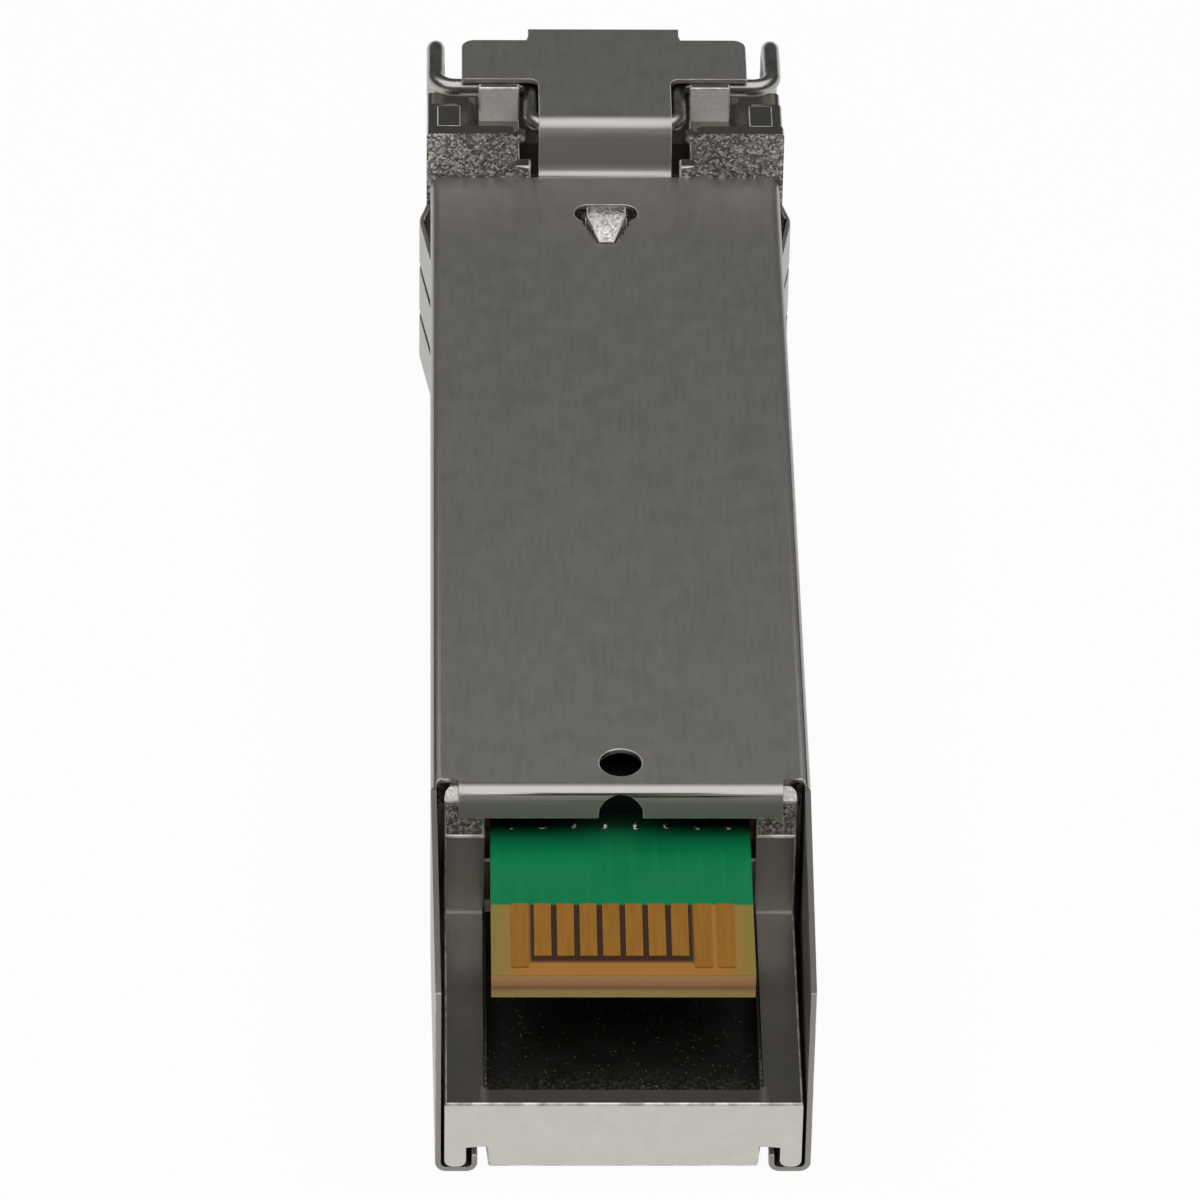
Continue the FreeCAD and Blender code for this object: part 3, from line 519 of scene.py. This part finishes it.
def varied(tree, shader, grain, first, second, smooth, rough):
    """Lets a noise vary a shader between two colours and between two roughnesses."""
    tree.links.new(tinted(tree, grain, first, second), shader.inputs["Base Color"])
    tree.links.new(ranged(tree, grain, 0.3, 0.7, smooth, rough), shader.inputs["Roughness"])


def gold_plating():
    """Gold with long marks from the host's contacts."""
    made, tree, shader = material("hard gold plating", Metallic=0.85)
    varied(tree, shader, noise(tree, 0.12 * mm, 3.0, (1, 0.08, 1)), "#D2933F", "#D99A45", 0.42, 0.48)
    return made


gold = gold_plating()
give_finish("edge_contacts_lower", gold)
give_finish("edge_contacts_upper", gold)

# Solder joints: a row of small bright domes on the board under the cover's rear flange.
# Each is a fillet of tin solder, flattened where it wets its pad.
solder_values = {"count": 8, "pitch": 1.1 * mm, "radius": 0.16 * mm}
first_joint = (-3.85 * mm, -16.95 * mm, board_high.z)


def tin_solder():
    """Bright tin, a little frosted where it froze."""
    made, tree, shader = material("tin solder", Metallic=1.0)
    varied(tree, shader, noise(tree, 0.1 * mm, 3.0), "#B9B8B5", "#DAD9D6", 0.18, 0.4)
    return made


def solder_tree(values):
    """Domes in a row, each with a size of its own."""
    tree = tree_inputs("solder joints", **values)
    given = node(tree, "NodeGroupInput").outputs
    spread = node(tree, "ShaderNodeCombineXYZ", {"X": given["pitch"]})
    row = node(tree, "GeometryNodeMeshLine", {"Count": given["count"], "Offset": spread.outputs[0],
                                              "Start Location": first_joint})
    dome = node(tree, "GeometryNodeMeshIcoSphere", {"Radius": given["radius"], "Subdivisions": 3})
    joints = copies(tree, row.outputs["Mesh"], dome.outputs["Mesh"], tin_solder(),
                    Scale=drawn(tree, (0.8, 1.0, 0.45), (1.2, 1.5, 0.7), 5))
    node(tree, "NodeGroupOutput", {0: joints})
    return tree


solder = grown(solder_tree(solder_values), solder_values)
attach(solder, "module")

# Parts on the board: moulded chips, fired capacitors and resistors, and ferrite beads, all soldered flat.
# They sit under the cover, and their finishes differ in colour, grain and gloss.


def fired_body(name, first, second, grain, rough):
    """Speckled body of a moulded or fired part."""
    made, tree, shader = material(name)
    speckle = noise(tree, grain, 4.0)
    varied(tree, shader, speckle, first, second, rough - 0.08, rough + 0.08)
    bumped(tree, shader, 0.2, grain / 6, speckle)
    return made


chip_resin = fired_body("moulding resin", "#151515", "#252526", 0.06 * mm, 0.55)
for name in ("controller_chip", "memory_chip", "driver_chip", "amplifier_chip"):
    give_finish(name, chip_resin)
give_finish("chip_resistors", fired_body("resistor glaze", "#1C1D22", "#30313A", 0.05 * mm, 0.35))
give_finish("chip_capacitors", fired_body("capacitor ceramic", "#8A6B48", "#A5835B", 0.05 * mm, 0.45))
give_finish("ferrite_beads", fired_body("ferrite", "#3B3B3D", "#4B4B4E", 0.04 * mm, 0.5))

# Optical subassemblies: turned steel barrels with a split ceramic sleeve in each, welded to gold-plated
# cans, whose leads go to amber flexible circuits. A black moulded clamp holds both barrels' necks.


def turned_steel():
    """Bright steel with fine rings from the lathe."""
    made, tree, shader = material("turned stainless steel", Metallic=1.0)
    varied(tree, shader, noise(tree, 0.05 * mm, 2.0, (0.02, 1, 0.02)), "#B4B1AB", "#CFCCC6", 0.16, 0.32)
    return made


def zirconia():
    """Polished white ceramic."""
    made, tree, shader = material("white zirconia", Subsurface_Weight=0.15, Subsurface_Scale=0.3 * mm)
    varied(tree, shader, noise(tree, 0.6 * mm, 2.0), "#E6E2D6", "#F2EFE6", 0.12, 0.22)
    return made


steel = turned_steel()
ceramic = zirconia()
polyimide = fired_body("amber polyimide", "#9A5A14", "#B8701E", 0.3 * mm, 0.3)
give_finish("osa_retainer", fired_body("black moulding", "#141414", "#222222", 0.08 * mm, 0.45))
for side in ("transmit", "receive"):
    give_finish(side + "_barrel", steel)
    give_finish(side + "_sleeve", ceramic)
    give_finish(side + "_can", gold)
    give_finish(side + "_leads", gold)
    give_finish(side + "_flex", polyimide)

# Latch lever: a small casting of the same plated zinc, on a turned steel pin, pushed up by a leaf spring.
# Its boss shows through the cover's window, and its skin is as coarse as the nose's.
lever_edge = 0.05 * mm


def lever_zinc():
    """Plated casting, coarse all over."""
    made, tree, shader = material("plated zinc lever", Metallic=1.0)
    flake = flakes(tree)
    bumped(tree, shader, 0.5, 0.03 * mm, flake)
    tree.links.new(ranged(tree, flake, 0, 1, 0.35, 0.5), shader.inputs["Roughness"])
    tree.links.new(tinted(tree, flake, "#8E8B86", "#F4F1EC"), shader.inputs["Base Color"])
    return made


give_finish("latch_hinge_pin", steel)
lever = softened("latch_lever", lever_edge, "lever", lever_zinc(), zinc_edge_highlight)


def merged(node_name, name, finish):
    """A copy of a node's mesh with its corners joined."""
    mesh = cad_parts[node_name].data.copy()
    mesh.materials.clear()
    mesh.materials.append(finish)
    work = bmesh.new()
    work.from_mesh(mesh)
    bmesh.ops.remove_doubles(work, verts=work.verts, dist=0.001 * mm)
    work.to_mesh(mesh)
    work.free()
    return new_object(name, mesh)


spring = merged("latch_spring", "latch_spring_leaf", steel)
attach(spring, "module")
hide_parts("latch_spring")
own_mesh(spring)

# Folded cover: one sheet of rolled stainless steel, 0.2 mm thick, bent round the casting and held by
# its hems, which hook into the casting's grooves. Its cut edges are sheared bright, and their rounds
# carry a painted highlight in short runs.
cover_edge = 0.045 * mm


def rolled_sheet():
    """Satin sheet with fine rolling marks along its length, scuffed where it faces back."""
    made, tree, shader = material("rolled stainless sheet", Metallic=1.0)
    rolling = noise(tree, 0.14 * mm, 3.0, (1, 0.12, 1))
    mottle = noise(tree, 0.9 * mm, 6.0)
    mixed = maths(tree, "ADD", rolling, mottle)
    scuffed = ranged(tree, facing(tree)["Y"], -0.95, -0.8, 0.35, 0)
    rough = maths(tree, "ADD", ranged(tree, mixed, 0.6, 1.4, 0.41, 0.45), scuffed)
    tree.links.new(rough, shader.inputs["Roughness"])
    tree.links.new(tinted(tree, mixed, "#B0ADA9", "#B6B3AF"), shader.inputs["Base Color"])
    bumped(tree, shader, 0.03, 0.01 * mm, rolling)
    return made


sheared_edge_highlight = painted_highlight_edge("sheared steel edge highlight", 0.5 * mm, "#BDBAB5", "#F4F1EC")
cover = softened("bottom_cover", cover_edge, "module", rolled_sheet(), sheared_edge_highlight)

# Wire bail: one length of round stainless wire, bent to a crank under the cover's hump, two shoulders
# in the saddles, two arms and the handle across the nose. Its ends meet on the crank.
wire = 0.7 * mm
crank_half = 2.78 * mm
crank_throw = 2.45 * mm
arm_reach = 2.93 * mm
crank_bend = 0.5 * mm
shoulder_bend = 0.75 * mm
arm_bend = 0.7 * mm
handle_bend = 1.2 * mm
bail_low, bail_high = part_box("bail_wire")
crank_y = bail_low.y + wire / 2
crank_z = bail_high.z - wire / 2


def bail_corners():
    """Corners of the wire's middle line on the right side, from the seam on, with each bend's radius."""
    pivot_y = crank_y + crank_throw
    arm_x = bail_high.x - wire / 2
    return [((crank_half, crank_y, crank_z), crank_bend), ((crank_half, pivot_y, crank_z), crank_bend),
            ((arm_x, pivot_y, crank_z), shoulder_bend), ((arm_x, pivot_y + arm_reach, crank_z), arm_bend),
            ((arm_x, bail_high.y - wire / 2, bail_low.z + wire / 2), handle_bend)]


def bent_line(corners, start, end):
    """Points with their handles along corners, with an arc of each corner's own radius."""
    spots = [(Vector(start), None, None)]
    places = [Vector(start)] + [Vector(c) for c, radius in corners] + [Vector(end)]
    for before, corner, after, (given, radius) in zip(places, places[1:], places[2:], corners):
        back = (before - corner).normalized()
        ahead = (after - corner).normalized()
        turn = math.pi - back.angle(ahead)
        reach = radius * math.tan(turn / 2)
        handle = 4 / 3 * math.tan(turn / 4) * radius
        spots.append((corner + back * reach, None, corner + back * (reach - handle)))
        spots.append((corner + ahead * reach, corner + ahead * (reach - handle), None))
    return spots + [(Vector(end), None, None)]


def bent_wire(name, spots, thickness):
    """Round wire along a bent line."""
    curve = bpy.data.curves.new(name, "CURVE")
    curve.dimensions = "3D"
    curve.bevel_depth = thickness / 2
    curve.bevel_resolution = 8
    curve.resolution_u = 10
    curve.use_fill_caps = True
    spline = curve.splines.new("BEZIER")
    spline.bezier_points.add(len(spots) - 1)
    for point, (place, left, right) in zip(spline.bezier_points, spots):
        point.handle_left_type = point.handle_right_type = "FREE"
        point.co = place
        point.handle_left = left or place
        point.handle_right = right or place
    bend = new_object(name, curve)
    mesh = bpy.data.meshes.new_from_object(bend.evaluated_get(bpy.context.evaluated_depsgraph_get()))
    bpy.data.objects.remove(bend)
    piece = new_object(name, mesh)
    piece.data.shade_smooth()
    return piece


def drawn_wire():
    """Bright drawn wire, lightly scuffed."""
    made, tree, shader = material("drawn stainless wire", Metallic=1.0)
    varied(tree, shader, noise(tree, 0.35 * mm, 4.0), "#A5A29D", "#B4B1AC", 0.25, 0.33)
    return made


right_side = bail_corners()
left_side = [((-x, y, z), radius) for (x, y, z), radius in reversed(right_side)]
seam_start = (1.65 * mm, crank_y, crank_z)
seam_end = (1.55 * mm, crank_y, crank_z)
bail = bent_wire("bail_round_wire", bent_line(right_side + left_side, seam_start, seam_end), wire)
bail.data.materials.append(drawn_wire())
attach(bail, "bail")
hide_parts("bail_wire")

# Studio: a wide white table that the module lies on, one large soft box straight overhead, and a
# plain grey room. The table reads white to the camera and in the metal, and keeps a faint shadow.
table_half = 1.5
table_glow = 0.95
room_grey = 0.09


def white_table():
    """White paint that glows where it is seen, so that only a little of its shading shows."""
    made = bpy.data.materials.new("white table")
    made.use_nodes = True
    tree = made.node_tree
    tree.nodes.clear()
    paint = node(tree, "ShaderNodeBsdfDiffuse", {"Color": (0.9, 0.9, 0.9, 1)})
    glow = node(tree, "ShaderNodeEmission", {"Color": (1, 1, 1, 1), "Strength": 1.0})
    path = node(tree, "ShaderNodeLightPath").outputs
    seen = maths(tree, "MAXIMUM", path["Is Camera Ray"], path["Is Glossy Ray"])
    seen = maths(tree, "MAXIMUM", seen, path["Is Transmission Ray"])
    share = product(tree, seen, table_glow)
    mixed = node(tree, "ShaderNodeMixShader", {0: share, 1: paint.outputs[0], 2: glow.outputs[0]})
    node(tree, "ShaderNodeOutputMaterial", {0: mixed.outputs[0]})
    return made


table_mesh = bpy.data.meshes.new("table")
table_mesh.from_pydata([(-table_half, -table_half, 0), (table_half, -table_half, 0),
                        (table_half, table_half, 0), (-table_half, table_half, 0)], [], [(0, 1, 2, 3)])
table_mesh.materials.append(white_table())
table = new_object("table", table_mesh)

lamp = bpy.data.lights.new("overhead box", "AREA")
lamp.shape = "RECTANGLE"
lamp.size = 0.9
lamp.size_y = 0.72
lamp.energy = 3.0
soft_box = new_object("overhead box", lamp)
soft_box.location = (0, -0.12, 0.5)

room = bpy.data.worlds.new("grey room")
bpy.context.scene.world = room
room.use_nodes = True
room.node_tree.nodes["Background"].inputs[0].default_value = (room_grey, room_grey, room_grey, 1)

# Camera: a long lens a third of a metre away, looking down on the module's rear, as in the photograph.
# It stands behind the edge connector and is turned and rolled by a degree or so.
camera_place = Vector((-7.161, -261.399, 210.206)) * mm
look_down = math.radians(38.39)
look_turn = math.radians(1.48)
look_roll = math.radians(0.99)
ahead = Vector((math.sin(look_turn) * math.cos(look_down), math.cos(look_turn) * math.cos(look_down),
                -math.sin(look_down)))
level_right = Vector((math.cos(look_turn), -math.sin(look_turn), 0))
level_up = level_right.cross(ahead)
right = level_right * math.cos(look_roll) + level_up * math.sin(look_roll)
upward = level_up * math.cos(look_roll) - level_right * math.sin(look_roll)
lens = bpy.data.cameras.new("long lens")
lens.sensor_width = 36
lens.lens = 269.6
lens.clip_start = 0.01
lens.clip_end = 10
camera = new_object("long lens", lens)
camera.matrix_world = Matrix.Translation(camera_place) @ Matrix((right, upward, -ahead)).transposed().to_4x4()
bpy.context.scene.camera = camera
bpy.context.scene.view_settings.view_transform = "Standard"
